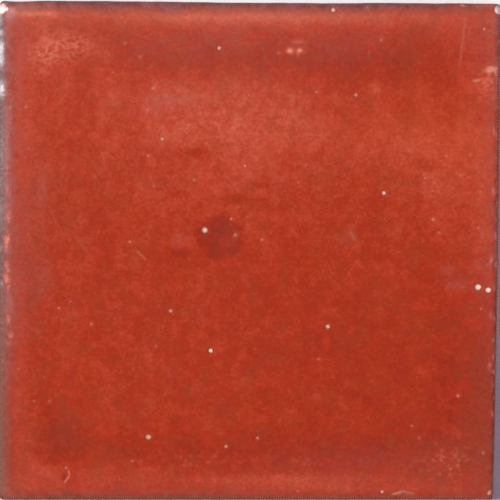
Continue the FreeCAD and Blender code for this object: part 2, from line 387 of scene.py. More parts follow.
# the arris and the upper side, carried round the face's outline
rim = face[face_loop]
rim_out = out_of(rim[:, :2])
rim_draft = draft_at(rim_out)
belt_rows = side_rows(ARRIS, 7, THICKNESS - BELT_SPLIT, 10)
belt = []
for offset, depth in belt_rows:
    sunk = blade_drag(rim[:, :2], THICKNESS - depth) * ease(np.full(len(rim), depth), 0.3, 2.5)
    handled = 1 + np.tanh(ripple(rim[:, 0], rim[:, 1] + 2 * depth, 2.4, 34))
    wear = ARRIS_WEAR * handled * ease(depth, 5.0, 2.0)
    outward = offset + rim_draft * depth / THICKNESS - sunk - wear
    level = THICKNESS - depth - (THICKNESS - rim[:, 2]) * (1 - depth / THICKNESS)
    belt.append(np.column_stack([rim[:, :2] + rim_out * outward[:, None], level]))
belt = np.concatenate(belt)

# the base sheet, and the lower side that rises from its outline
base_x = base_columns()
base_across = base_x / (WIDTH / 2 - BASE_EDGE)
base_u, base_v = np.meshgrid(base_across, crowded(56, 0.5))
base_plan = spread_over(base_u, base_v, cut_corners(0.0, BASE_EDGE), 1.0)
straight = ease(np.abs(base_across), 0.955, 0.9)
base_plan[..., 0] += (base_x - base_plan[..., 0]) * straight
base_rise = groove_rise(base_plan[..., 0])
base_uneven = BASE_DIMPLES * (1 + np.tanh(ripple(base_plan[..., 0], base_plan[..., 1], 11.0, 51)))
ribs = ripple(base_plan[..., 0] * 2.5, base_plan[..., 1] * 0.15, 6.0, 52)
base_uneven += BASE_RIBS * np.abs(ribs)
base = np.dstack([base_plan, base_rise + base_uneven]).reshape(-1, 3)
base_loop = loop_of(*base_u.shape)
sole = base[base_loop]
sole_out = out_of(sole[:, :2])
sole_draft = draft_at(sole_out)
skirt = side_rows(BASE_EDGE, 4, SKIRT_TOP, 4)
skirt_rows = []
for offset, height in skirt:
    sunk = blade_drag(sole[:, :2], height) * ease(np.full(len(sole), height), 0.1, 1.2)
    outward = offset - sole_draft * height / THICKNESS - sunk
    level = sole[:, 2] + height * (1 - sole[:, 2] / BELT_SPLIT)
    skirt_rows.append(np.column_stack([sole[:, :2] + sole_out * outward[:, None], level]))
skirt_rows = np.concatenate(skirt_rows)

# one closed skin: face, belt, a zipped row, skirt and base
belt_start = len(face)
skirt_start = belt_start + len(belt)
base_start = skirt_start + len(skirt_rows)
upper_loops = [face_loop] + [
    belt_start + row * len(rim) + np.arange(len(rim)) for row in range(len(belt_rows))
]
lower_loops = [base_start + base_loop] + [
    skirt_start + row * len(sole) + np.arange(len(sole)) for row in range(len(skirt))
]
quads = [quads_of(*face_u.shape, 0), quads_of(*base_u.shape, base_start, turned=True)]
quads += [belt_quads(upper, lower) for upper, lower in zip(upper_loops, upper_loops[1:])]
quads += [belt_quads(upper, lower) for lower, upper in zip(lower_loops, lower_loops[1:])]
points = np.concatenate([face, belt, skirt_rows, base])
seam = zip_triangles(
    upper_loops[-1],
    lower_loops[-1],
    share_round(points[upper_loops[-1], :2]),
    share_round(points[lower_loops[-1], :2]),
)
points, bare_clay = knocked_out(points)
quads = np.concatenate(quads)


# The glaze on it
# A thin transparent coat, stained red with iron, was poured over the face and ran down the upper
# sides. It is pale where it lies thin on the rim and dark where it pooled. Along the arris it is
# painted dark, as painted shade where the arris turns away from the light. This section gives its
# state at every point of the skin.

# the band of painted shade along the arris: how far in it reaches from each side, and over how much it
# fades
EDGE_SHADE_REACH = np.array([1.6, 0.5, 2.9, 2.2])   # in from the front, right, back and left
EDGE_SHADE_SPREAD = np.array([1.9, 1.0, 1.8, 2.3])  # half the width over which it fades
HAZE = np.array([0.12, 0.10, 0.15, 0.20])     # milkiness at each side, and how far in it fades
HAZE_REACH = np.array([7.0, 6.0, 8.0, 7.0])
RING_POOL_AT_ENDS, RING_POOL_AT_SIDES = 0.20, 0.12
RUN_TO_RIGHT, RUN_TO_FRONT = 0.16, 0.34       # how much thicker the glaze lies to one end

# Each patch of the left side that lime has whitened, and at (-73.2, 72.8) one painted highlight on
# the arris by the back left chip: place (x, y), half sizes and strength
LIME_AND_HIGHLIGHT = np.array([
    (-76.6, 66.8, 1.0, 0.9, 0.75), (-76.4, 62.3, 0.9, 1.8, 1.30), (-76.4, 58.3, 1.0, 2.0, 0.90),
    (-76.2, 49.4, 1.0, 2.1, 1.20), (-76.6, 71.0, 0.8, 1.6, 0.45), (-76.6, 30.0, 0.8, 6.0, 0.18),
    (-76.6, 20.6, 0.6, 1.4, 0.30), (-76.6, 12.0, 0.8, 5.0, 0.22), (-76.5, 0.6, 0.6, 0.9, 0.30),
    # the second patch here, at (-73.2, 72.8), is a painted highlight, not lime
    (-76.2, -10.4, 0.6, 0.8, 0.30), (-73.2, 72.8, 1.4, 1.4, 0.50), (-74.6, 31.0, 1.6, 14.0, 0.10),
    (-74.6, 12.0, 1.4, 8.0, 0.05),
])

# Each thin (below 0) or thick place of the glaze, and at (-56.9, -69.8) a painted shadow of dark
# glaze beside the scratch at the front left: place (x, y), half sizes and change
POOLS_AND_SHADOW = np.array([
    (34.0, 58.5, 18.0, 7.0, 0.28), (-18.0, 59.0, 30.0, 6.5, 0.10), (62.0, 57.0, 10.0, 7.0, 0.06),
    (28.0, -63.0, 40.0, 5.0, 0.16), (-30.0, -63.5, 26.0, 5.0, 0.06), (-57.5, -57.0, 6.0, 8.0, 0.46),
    (-16.4, 29.4, 4.0, 1.8, 0.24), (-8.0, 24.6, 3.0, 1.2, 0.20), (68.0, 0.0, 9.0, 80.0, -0.12),
    (10.0, 71.0, 70.0, 3.2, -0.12), (-66.0, -20.0, 6.0, 50.0, -0.06), (0.0, -70.8, 70.0, 2.6, -0.12),
    (-21.6, -1.2, 1.6, 1.0, 0.30), (54.0, 26.0, 3.0, 1.5, 0.40), (-3.5, 15.3, 4.0, 2.0, 0.14),
    (30.0, -28.0, 30.0, 20.0, 0.12), (62.0, -40.0, 9.0, 14.0, 0.15), (-57.0, 62.0, 11.0, 6.5, -0.35),
    (8.0, 39.0, 24.0, 13.0, -0.34), (46.0, 33.0, 20.0, 9.0, -0.22), (-20.0, 44.0, 16.0, 10.0, -0.22),
    (30.0, 46.0, 14.0, 8.0, 0.10), (-40.0, 47.0, 6.0, 5.0, -0.10), (-24.0, 34.0, 9.0, 4.0, -0.14),
    (-3.0, 25.0, 9.0, 9.0, -0.20), (57.5, 15.0, 5.0, 15.0, -0.18), (66.0, 21.0, 3.0, 9.0, 0.10),
    (-45.0, 9.0, 8.0, 13.0, 0.12), (6.0, -10.0, 12.0, 5.0, 0.10), (-66.0, -56.0, 4.5, 9.0, -0.18),
    (-58.0, -67.0, 9.0, 3.0, -0.16), (-34.0, -67.5, 18.0, 2.4, -0.16), (71.0, -46.0, 6.0, 26.0, 0.26),
    (38.0, 49.4, 2.4, 2.0, -0.35), (20.4, -45.7, 2.2, 2.0, -0.40), (15.5, -70.6, 34.0, 2.6, -0.40),
    (-45.0, -69.0, 18.0, 4.0, -0.15), (-5.0, 72.0, 44.0, 2.6, -0.66), (50.0, 71.5, 26.0, 3.0, -0.16),
    (74.5, 55.6, 1.7, 0.8, -2.30), (73.5, 54.7, 0.6, 1.1, -0.90), (75.6, 54.0, 0.5, 1.4, -0.90),
    (74.8, 54.1, 0.5, 0.9, 0.80), (72.6, 53.4, 0.8, 0.6, 0.50), (74.4, 51.4, 0.5, 0.7, -0.80),
    (74.1, 50.5, 0.7, 0.5, 0.50), (74.6, 49.6, 1.0, 0.5, -0.70), (75.3, 47.0, 0.8, 1.3, -0.50),
    (72.6, 52.8, 2.6, 3.4, -0.25), (72.0, 15.0, 3.0, 34.0, -0.16), (70.5, 46.1, 1.0, 1.0, -0.30),
    (60.0, 26.0, 14.0, 16.0, -0.24), (-66.0, 30.0, 9.0, 40.0, -0.12), (-30.0, -8.0, 20.0, 16.0, 0.08),
    (-64.0, -70.0, 8.0, 5.0, -0.12), (-26.0, 18.0, 16.0, 9.0, -0.05), (40.0, -73.4, 34.0, 1.2, -0.30),
    (12.5, 61.1, 0.95, 0.85, -2.20), (15.5, 61.3, 0.80, 0.80, -2.05), (15.0, 60.0, 0.6, 0.9, -0.80),
    (14.0, 63.9, 0.7, 0.7, -0.70), (15.6, 63.9, 0.9, 0.6, -0.90), (17.1, 61.0, 0.6, 1.4, -0.45),
    (8.9, 60.5, 0.7, 0.7, -1.10), (14.4, 61.6, 4.0, 2.8, -0.20), (-48.0, 68.0, 24.0, 4.5, 0.20),
    (-18.0, 30.4, 3.6, 0.9, 0.34), (-4.3, 15.5, 4.4, 1.1, 0.40), (3.0, 19.8, 3.4, 1.0, 0.32),
    (-20.2, -1.0, 3.2, 1.3, 0.44), (-3.7, 13.3, 2.4, 0.8, -0.30), (-1.6, -40.0, 1.0, 1.0, -0.30),
    # the last patch here is a painted shadow beside the scratch at the front left
    (0.0, 62.0, 90.0, 9.0, 0.05), (-66.5, 72.7, 9.0, 1.1, -0.90), (-56.9, -69.8, 0.6, 0.9, 1.50),
])

# Each milky film left in the glaze, and at (-73.3, 72.4) one painted highlight by the back left
# chip: place (x, y), half sizes and strength
FILMS_AND_HIGHLIGHT = np.array([
    (-22.0, 46.0, 6.0, 1.5, 0.20), (-28.0, 44.6, 6.0, 5.0, 0.12), (64.0, -11.0, 3.4, 1.6, 0.26),
    (60.6, -6.1, 2.2, 1.6, 0.20), (70.0, -5.2, 3.0, 1.8, 0.16), (31.5, 4.6, 1.6, 2.4, 0.16),
    (-63.5, 18.0, 1.8, 8.0, 0.18), (-62.5, -9.0, 2.4, 4.0, 0.14), (-72.0, 10.0, 4.0, 70.0, 0.12),
    # the third film here, at (-73.3, 72.4), is a painted highlight
    (-6.0, 50.0, 34.0, 20.0, 0.04), (-66.0, 74.6, 7.0, 1.6, 0.40), (-73.3, 72.4, 1.3, 1.8, 0.45),
    (-21.6, 3.4, 2.6, 2.0, 0.18), (-10.0, 70.0, 70.0, 20.0, 0.07), (-20.0, 63.0, 28.0, 6.0, 0.10),
    (30.0, 63.0, 16.0, 6.0, 0.11), (-9.4, 3.6, 7.0, 7.0, 0.02), (40.0, -65.0, 32.0, 6.0, 0.09),
    (-64.5, -10.0, 3.0, 11.0, 0.09), (-64.0, 60.0, 8.0, 8.0, 0.06), (71.0, 66.0, 6.0, 9.0, 0.12),
    (-73.6, -17.0, 1.1, 12.0, 0.20),
])

# Each cast of the glaze's hue: place (x, y), half sizes and how brown it is, or orange below 0
CASTS = np.array([
    (30.0, 60.0, 26.0, 6.0, 0.14), (-15.0, 60.5, 30.0, 5.0, 0.14), (-50.0, 66.0, 14.0, 5.0, 0.06),
    (-57.0, -57.0, 7.0, 8.0, 0.18), (62.0, -60.0, 14.0, 10.0, 0.18), (72.0, -40.0, 5.0, 30.0, 0.20),
    (-68.0, -8.0, 6.0, 26.0, 0.12), (-68.0, -62.0, 7.0, 14.0, 0.14), (10.0, -64.0, 50.0, 5.0, 0.04),
    (-56.0, 20.0, 12.0, 22.0, 0.07), (52.0, 40.0, 26.0, 16.0, -0.16), (67.0, 22.0, 12.0, 20.0, -0.12),
    (46.0, -20.0, 18.0, 16.0, -0.08), (-75.2, -56.0, 1.8, 24.0, 0.36), (-77.3, 16.0, 1.4, 34.0, 0.50),
    (-77.3, -52.0, 1.0, 26.0, 0.60), (-14.0, -75.9, 46.0, 1.2, 0.30), (-64.0, 8.0, 13.0, 36.0, 0.09),
    (54.0, -70.0, 22.0, 5.0, 0.10),
])

# Each patch where the glaze crawled into a net of pale lines, then where it boiled into dots
NETS = np.array([
    (-63.0, 61.0, 4.0, 6.0, 1.0), (-54.5, 63.0, 7.5, 5.6, 1.0), (72.6, 52.0, 3.0, 5.0, 1.0),
    (61.0, -64.0, 8.0, 6.0, 0.5), (12.0, -64.6, 40.0, 1.6, 0.25),
])
BOILS = np.array([
    (61.6, -64.0, 8.5, 6.5, 1.4), (-16.0, -64.5, 12.0, 2.6, 1.0), (18.0, -64.6, 9.0, 2.0, 1.0),
    (50.0, -66.0, 10.0, 3.0, 0.5), (60.0, 20.0, 12.0, 12.0, 0.3), (-15.0, 30.0, 30.0, 25.0, 0.12),
    (-8.0, 42.0, 22.0, 12.0, 0.3), (-32.0, -65.5, 5.0, 2.0, 0.6),
])

# Dashes along the right and left arris, then small spots, each with its place (x, y), half sizes
# and strength. On the right they are pink where the arris is rubbed through; on the left they are
# painted highlights where the arris catches the light.
RUB_AND_GLINT_INSET = np.array([0.45, 1.5])
RUB_AND_GLINT_REACH = np.array([0.5, 0.6])
RUBS_AND_GLINTS = np.array([
    (-74.1, 3.0, 0.7, 0.9, 1.0), (-74.6, 1.4, 0.6, 1.2, 0.9), (-74.4, -4.6, 0.6, 1.0, 0.8),
    (-74.8, -8.0, 0.7, 0.9, 0.9), (-74.2, -9.3, 0.7, 0.6, 0.9), (-73.0, -18.4, 0.5, 0.6, 0.6),
    (-73.2, -26.1, 0.7, 0.9, 1.0), (74.3, -3.6, 0.6, 1.6, 0.7), (74.9, 18.0, 0.5, 1.2, 0.7),
    (73.9, -35.6, 0.6, 1.4, 0.8), (74.2, -20.0, 0.5, 1.0, 0.5), (75.4, 36.6, 0.6, 1.2, 0.8),
    (75.8, 55.6, 0.8, 0.7, 1.0), (75.9, 53.8, 0.4, 1.2, 0.7), (76.5, 56.8, 0.8, 0.7, 0.7),
    (-73.4, 72.6, 0.9, 1.1, 1.0), (-72.5, 73.7, 1.0, 0.6, 0.6), (74.9, 55.2, 1.6, 0.9, 0.6),
])

# Each scratch: where it starts and ends, its half width and strength
SCRATCHES = np.array([
    (66.6, 73.7, 64.2, 53.6, 0.65, 0.24), (36.9, 62.0, 36.7, 59.0, 0.40, 0.16),
    (-34.8, 0.0, -31.4, -3.4, 0.55, 0.36), (-54.8, 6.4, -48.9, -2.1, 0.50, 0.12),
    (-61.2, 12.6, -59.1, 7.7, 0.50, 0.14), (30.6, 6.4, 32.6, 2.6, 0.60, 0.24),
    (32.4, -3.1, 34.6, -5.5, 0.55, 0.18), (-55.2, -69.2, -57.0, -71.7, 0.36, 0.90),
    (-55.6, -67.4, -55.1, -69.4, 0.34, 0.70), (43.6, -75.2, 47.2, -74.1, 0.50, 1.10),
    (47.2, -74.1, 51.0, -74.9, 0.45, 0.50), (71.0, 52.2, 68.4, 51.8, 0.60, 0.75),
    (-26.0, 33.8, -27.4, 35.0, 0.34, 0.60), (-64.0, 23.0, -61.6, 14.0, 0.50, 0.12),
    (61.4, 61.5, 61.2, 58.5, 0.40, 0.16), (-37.0, -1.2, -42.0, -2.6, 0.60, 0.12),
])


def bells(x, y, places):
    """The sum of soft patches, each exp(-(x / half width)^2 - (y / half length)^2)."""
    across = (x[:, None] - places[:, 0]) / places[:, 2]
    along = (y[:, None] - places[:, 1]) / places[:, 3]
    return (np.exp(-(across**2) - along**2) * places[:, 4]).sum(axis=1)


def stain_at(x, y):
    """The dark stain over the dent, from 0 to 1: one broad lobe with a smaller one on its rim."""
    bend = ripple(x, y, 5.0, 61)
    broad = 1 - np.hypot((x + 9.4) / 8.0, (y - 3.6) / 7.6) + 0.10 * bend
    upper = 1 - np.hypot((x + 7.6) / 5.4, (y - 7.6) / 4.2) + 0.12 * bend
    return 0.76 * ease(broad, 0.0, 0.32) + 0.24 * ease(upper, 0.0, 0.6)


def nearest_pit(x, y):
    """The offset to the nearest pit in its own radii, and its paleness while no other is as near."""
    away = pit_distances(x, y)
    nearest = away.argmin(axis=1)
    radius = PITS[nearest, 2]
    first, second = np.partition(away, 1, axis=1)[:, :2].T
    strength = PITS[nearest, 4] * ease(first, 3.6, 2.6) * ease(second - first, 0.1, 0.9)
    return np.column_stack([(x - PITS[nearest, 0]) / radius, (y - PITS[nearest, 1]) / radius, strength])


def nearest_scratch(x, y):
    """Offsets across the nearest scratch in half widths and along it in half lengths."""
    middle = (SCRATCHES[:, :2] + SCRATCHES[:, 2:4]) / 2
    run = (SCRATCHES[:, 2:4] - SCRATCHES[:, :2]) / 2
    half = np.linalg.norm(run, axis=1)
    run = run / half[:, None]
    off_x, off_y = x[:, None] - middle[:, 0], y[:, None] - middle[:, 1]
    along = off_x * run[:, 0] + off_y * run[:, 1]
    across = off_y * run[:, 0] - off_x * run[:, 1]
    away = np.hypot(across, np.maximum(np.abs(along) - half, 0))
    nearest = away.argmin(axis=1)
    row = np.arange(len(x))
    strength = SCRATCHES[nearest, 5] * ease(away.min(axis=1), 1.6, 1.0)
    return np.column_stack([
        across[row, nearest] / SCRATCHES[nearest, 4], along[row, nearest] / half[nearest], strength,
    ])


x, y, z = points.T                          # of every point of the skin
bell, at_ends, inset = hollow_at(x, y)
on_face = ease(z, THICKNESS - 2.2, THICKNESS - 0.6)
side_drop = THICKNESS - z

# how far the glaze ran down the sides: all the way at the left and the front
runs = ripple(x + y, x - y, 9.0, 71)
runs += 0.6 * ripple(x + y, x - y, 3.0, 72)
run_length = np.maximum(6.5 + 1.8 * runs, 2.0)
run_length += 8.0 * np.maximum(ease(x, -70.0, -75.5), ease(y, -70.0, -75.5))
cover = ease(side_drop, run_length + 0.8, run_length - 0.8)

# lime on the left side with one painted highlight, broken clay in the chips and at two corners,
# smoke down the sides
furrow = ripple(0.3 * z, y, 1.3, 78)
lime_and_highlight = np.clip(bells(x, y, LIME_AND_HIGHLIGHT) * (0.8 + 0.3 * furrow), 0, 1)
corner_bloom = ease(np.hypot(x + 76.2, y - 74.1), 2.0, 1.0)
corner_bloom = np.maximum(corner_bloom, ease(np.hypot(x - 76.8, y - 73.8), 1.9, 1.0))
fresh = np.maximum(bare_clay, corner_bloom)
smoke = ease(side_drop, 0.5, 2.6)

# how thick the coat lies
pool = RING_POOL_AT_ENDS * bell * at_ends * (0.9 + 0.1 * ripple(x, y, 26.0, 73))
pool += RING_POOL_AT_SIDES * bell * (1 - at_ends)
pool += RUN_TO_RIGHT * x / WIDTH - RUN_TO_FRONT * y / LENGTH
# one of these, at (-56.9, -69.8), is a painted shadow of dark glaze beside a scratch
pool += bells(x, y, POOLS_AND_SHADOW)
pool += 0.06 * ripple(x, y, 14.0, 74) + 0.05 * ripple(x, y, 5.0, 75)
pool += 0.80 * stain_at(x, y)

# the band of painted shade along the arris, wider or narrower along parts of the sides
edge_shade_sway = 0.30 * ripple(x, y, 13.0, 76) + 0.25 * ripple(x, y, 3.0, 77)
from_sides = side_distances(x, y)
edge_shade_gap = from_sides - EDGE_SHADE_REACH - edge_shade_sway[:, None]
edge_shade_gap[:, 1] -= 0.8 * ease(y, 35.0, 50.0)
edge_shade_gap[:, 2] += 1.2 * ease(x, 35.0, 68.0)
edge_shade_gap[:, 3] += 1.3 * ease(y, -31.0, -46.0) - 0.6 * ease(y, -8.0, -20.0)
edge_shade_gap[:, 0] += 0.9 * ease(x, -25.0, 5.0)
edge_shade = np.clip(0.5 - edge_shade_gap / EDGE_SHADE_SPREAD / 2, 0, 1).max(axis=1)

# the haze along the sides, and the dashes along the arris: rubbed pink on the right, painted
# highlights on the left
haze = HAZE * np.exp(-((from_sides / HAZE_REACH) ** 2))
haze[:, 3] *= 0.15 + 0.85 * ease(y, -45.0, -10.0)
pool += 0.7 * haze[:, 1] + haze[:, 3]
rub_and_glint_dash = ripple(0.4 * x, y, 5.0, 80) + 0.7 * ripple(x, y, 1.7, 81)
arris_gap = from_sides[:, [1, 3]] - RUB_AND_GLINT_INSET
rubs_and_glints = np.exp(-((arris_gap / RUB_AND_GLINT_REACH) ** 2)) * ease(rub_and_glint_dash, 0.4, 1.5)[:, None]
rubs_and_glints[:, 1] *= ease(y, -36.0, -24.0) * ease(y, 60.0, 40.0)
rubs_and_glints = rubs_and_glints.max(axis=1)
rubs_and_glints = np.maximum(rubs_and_glints, np.clip(bells(x, y, RUBS_AND_GLINTS), 0, 1))
edge_shade *= 1 - 0.8 * rubs_and_glints

# milky film with one painted highlight, and all that the mesh will carry
film_and_highlight = bells(x, y, FILMS_AND_HIGHLIGHT) + haze.sum(axis=1)
film_and_highlight += 0.12 * np.exp(-(((from_sides[:, 1] - 2.4) / 1.5) ** 2)) * ease(y, -30.0, -5.0)
pit_place = nearest_pit(x, y)
pit_place[:, 2] *= on_face
skin_state = np.column_stack([cover, pool * on_face, edge_shade])
edge_state = np.column_stack([fresh, smoke, rubs_and_glints])
dull = np.maximum(ease(from_sides[:, 3], 3.2, 1.2), ease(from_sides[:, :3].min(axis=1), 1.3, 0.5))
edge_turn = np.column_stack([dull, lime_and_highlight, bells(x, y, CASTS)])
skin_flaws = np.column_stack([
    np.clip(bells(x, y, NETS), 0, 1), np.clip(bells(x, y, BOILS), 0, 1), film_and_highlight,
]) * on_face[:, None]


# Fired clay
# The body is a salmon-pink earthenware with darker grog and small pores. It shows on the base,
# on the lower sides, in the chips and in the burst pits.

def srgb(red, green, blue):
    """A colour written as screen values from 0 to 255, as the linear colour that a shader needs."""
    screen = np.array([red, green, blue]) / 255
    linear = np.where(screen <= 0.04045, screen / 12.92, ((screen + 0.055) / 1.055) ** 2.4)
    return (*linear.tolist(), 1.0)


def node(kind, inputs, tree=None, **settings):
    """A new node with its settings; each input is given a value or linked from a socket.

    It goes into the tree that is named, or else into the one that its first socket belongs to.
    """
    if tree is None:
        tree = next(value.id_data for value in inputs.values() if isinstance(value, bpy.types.NodeSocket))
    made = tree.nodes.new(kind)
    for name, value in settings.items():
        setattr(made, name, value)
    for key, value in inputs.items():
        if isinstance(value, bpy.types.NodeSocket):
            tree.links.new(value, made.inputs[key])
        else:
            made.inputs[key].default_value = value
    return made


def calc(operation, first, second=0.0, third=0.0, clamp=False):
    """The result of one sum on two or three values or sockets."""
    inputs = {0: first, 1: second, 2: third}
    return node("ShaderNodeMath", inputs, operation=operation, use_clamp=clamp).outputs[0]


def between(value, low, high, to_low=0.0, to_high=1.0):
    """A value carried smoothly from one range to another and held at its ends."""
    inputs = {"Value": value, "From Min": low, "From Max": high, "To Min": to_low, "To Max": to_high}
    return node("ShaderNodeMapRange", inputs, interpolation_type="SMOOTHSTEP").outputs[0]


def tint(amount, first, second):
    """Two colours mixed by an amount."""
    return node("ShaderNodeMix", {0: amount, 6: first, 7: second}, data_type="RGBA").outputs[2]


def cloud(place, size, detail=3.0, roughness=0.55, distortion=0.0):
    """Noise from 0 to 1 whose clouds are about so many millimetres across."""
    inputs = {"Vector": place, "Scale": 1 / (size * MM), "Detail": detail}
    inputs.update({"Roughness": roughness, "Distortion": distortion})
    return node("ShaderNodeTexNoise", inputs).outputs["Fac"]


def cells(place, size):
    """Cells about so many millimetres across: each one's own colour and the distance to its heart."""
    return node("ShaderNodeTexVoronoi", {"Vector": place, "Scale": 1 / (size * MM)}).outputs


def stretched(place, factors):
    """Places times a factor along each axis, so that a pattern is drawn out where it is below 1."""
    return node("ShaderNodeVectorMath", {0: place, 1: factors}, operation="MULTIPLY").outputs[0]


def stops(value, colours):
    """A colour picked along a row of (place, colour)."""
    ramp = node("ShaderNodeValToRGB", {0: value})
    ramp.color_ramp.elements.remove(ramp.color_ramp.elements[0])
    ramp.color_ramp.elements[0].position, ramp.color_ramp.elements[0].color = colours[0]
    for place, colour in colours[1:]:
        ramp.color_ramp.elements.new(place).color = colour
    return ramp.outputs[0]


def shader_group(name, inputs, outputs):
    """An empty node group with named sockets, as its tree, its inputs and its outputs."""
    tree = bpy.data.node_groups.new(name, "ShaderNodeTree")
    for socket, kind in inputs:
        tree.interface.new_socket(socket, in_out="INPUT", socket_type=kind)
    for socket, kind in outputs:
        tree.interface.new_socket(socket, in_out="OUTPUT", socket_type=kind)
    return tree, tree.nodes.new("NodeGroupInput").outputs, tree.nodes.new("NodeGroupOutput").inputs


def finish_of(name):
    """A new material, its tree, the inputs of its shader and the places on the object."""
    finish = bpy.data.materials.new(name)
    finish.use_nodes = True
    tree = finish.node_tree
    place = node("ShaderNodeTexCoord", {}, tree).outputs["Object"]
    return finish, tree, tree.nodes["Principled BSDF"].inputs, place


VALUE, COLOUR, VECTOR = "NodeSocketFloat", "NodeSocketColor", "NodeSocketVector"
BUMP_HEIGHT = 0.15 * MM

tree, given, put = shader_group(
    "fired_clay", [("Place", VECTOR)], [("Colour", COLOUR), ("Roughness", VALUE), ("Height", VALUE)]
)
fired_clay, place = tree, given["Place"]
clay_tone = stops(cloud(place, 9.0, 5.0, 0.6), [
    (0.30, srgb(186, 124, 96)), (0.50, srgb(207, 148, 118)), (0.70, srgb(221, 170, 142)),
])
grain = cloud(place, 0.6, 4.0, 0.7)
clay_tone = tint(between(grain, 0.35, 0.7, 0.0, 0.35), clay_tone, srgb(236, 200, 174))
grog = cells(place, 1.9)
grog_dark = between(grog["Distance"], 0.24, 0.14)
grog_dark = calc("MULTIPLY", grog_dark, between(grog["Color"], 0.45, 0.6))
clay_tone = tint(calc("MULTIPLY", grog_dark, 0.55), clay_tone, srgb(136, 70, 50))
drag = cloud(stretched(place, (1.0, 1.0, 0.05)), 0.7, 2.0)
clay_tone = tint(between(drag, 0.5, 0.75, 0.0, 0.25), clay_tone, srgb(168, 112, 92))
clay_height = calc("MULTIPLY_ADD", grain, 0.6, calc("MULTIPLY", drag, 0.6))
clay_height = calc("MULTIPLY_ADD", grog_dark, -0.5, clay_height)
tree.links.new(clay_tone, put["Colour"])
tree.links.new(between(grain, 0.3, 0.7, 0.82, 0.95), put["Roughness"])
tree.links.new(clay_height, put["Height"])

base_clay, tree, surface, place = finish_of("bare_fired_clay")
body = node("ShaderNodeGroup", {"Place": place}, node_tree=fired_clay).outputs
dusty = between(cloud(place, 26.0, 4.0, 0.6), 0.42, 0.62, 0.0, 0.5)
tree.links.new(tint(dusty, body["Colour"], srgb(214, 178, 152)), surface["Base Color"])
tree.links.new(body["Roughness"], surface["Roughness"])
bump = node("ShaderNodeBump", {"Strength": 0.6, "Distance": BUMP_HEIGHT, "Height": body["Height"]})
tree.links.new(bump.outputs[0], surface["Normal"])


# Red glaze over the clay
# Iron-red and translucent, so its colour goes by its thickness: orange-pink where thin, red,
# then brown where it pooled. Fine mottling, crawled nets and boiled dots lie in the coat itself.

tree, given, put = shader_group(
    "red_glaze",
    [("Place", VECTOR), ("Pool", VALUE), ("Net", VALUE), ("Boil", VALUE)],
    [("Colour", COLOUR), ("Roughness", VALUE), ("Height", VALUE)],
)
red_glaze, place = tree, given["Place"]
broad = calc("MULTIPLY_ADD", cloud(place, 3.0, 4.0, 0.65, 0.6), 0.84, -0.42)
fine = calc("MULTIPLY_ADD", cloud(place, 1.0, 2.0, 0.6), 0.78, -0.39)
mottling = calc("ADD", broad, fine)
net = cloud(stretched(place, (0.8, 1.2, 1.0)), 1.5, 0.0, 0.5, 0.1)
off_line = calc("ABSOLUTE", calc("SUBTRACT", net, 0.5))
net_lines = calc("MULTIPLY", between(off_line, 0.24, 0.0), given["Net"])
dots = cells(place, 1.4)
dot_size = between(dots["Color"], 0.2, 0.8, 0.05, 0.55)
dot_edge = calc("SUBTRACT", dot_size, dots["Distance"])
boil_dots = calc("MULTIPLY", between(dot_edge, -0.3, 0.3), given["Boil"])
specks = cells(place, 2.6)
speck_size = between(specks["Color"], 0.62, 0.95, -0.1, 0.15)
speck_edge = calc("SUBTRACT", speck_size, specks["Distance"])
lifted = calc("MULTIPLY_ADD", net_lines, 0.48, calc("MULTIPLY", boil_dots, 0.55))
lifted = calc("MULTIPLY_ADD", between(speck_edge, -0.06, 0.06), 0.35, lifted)
thickness = calc("SUBTRACT", calc("ADD", given["Pool"], mottling), lifted)
glaze_tone = stops(calc("MULTIPLY_ADD", thickness, 1 / 3, 0.5), [
    (0.00, srgb(252, 152, 122)), (0.12, srgb(228, 118, 92)), (0.25, srgb(208, 93, 66)),
    (0.40, srgb(190, 66, 39)), (0.52, srgb(175, 48, 15)), (0.66, srgb(161, 40, 12)),
    (0.76, srgb(150, 41, 16)), (0.90, srgb(140, 43, 23)), (1.00, srgb(122, 38, 24)),
])
hue_drift, warmth = cloud(place, 6.0, 4.0, 0.6), cloud(place, 2.2, 1.0, 0.6)
for drift, full, amount, colour in (
    (hue_drift, 0.68, 0.20, srgb(144, 72, 40)),
    (hue_drift, 0.32, 0.16, srgb(212, 56, 24)),
    (warmth, 0.70, 0.09, srgb(196, 88, 30)),
    (warmth, 0.30, 0.09, srgb(190, 50, 52)),
):
    glaze_tone = tint(between(drift, 0.5, full, 0.0, amount), glaze_tone, colour)
# a painted sheen: whitish where the coat is thin, in place of the glaze's fine sparkle of reflected light
painted_sheen = between(mottling, 0.2, -0.5, 0.0, 0.02)   # a trace of white where the coat is thin
tree.links.new(tint(painted_sheen, glaze_tone, srgb(238, 196, 180)), put["Colour"])
roughness = calc("MULTIPLY_ADD", lifted, 0.15, between(fine, -0.2, 0.3, 0.17, 0.25))
tree.links.new(roughness, put["Roughness"])
swells = calc("MULTIPLY", cloud(place, 1.7, 2.0), 0.5)
tree.links.new(calc("MULTIPLY_ADD", lifted, -0.35, swells), put["Height"])


# Burst pits and scratches
# Gas left the melted glaze in bubbles that burst, and some pits never healed over. Each has pale
# clay at its heart, and the crater wall round it is painted dark as shade. Scratches are fine lines
# rubbed since.

def parts_of(vector):
    """The three parts of a vector."""
    return node("ShaderNodeSeparateXYZ", {0: vector}).outputs


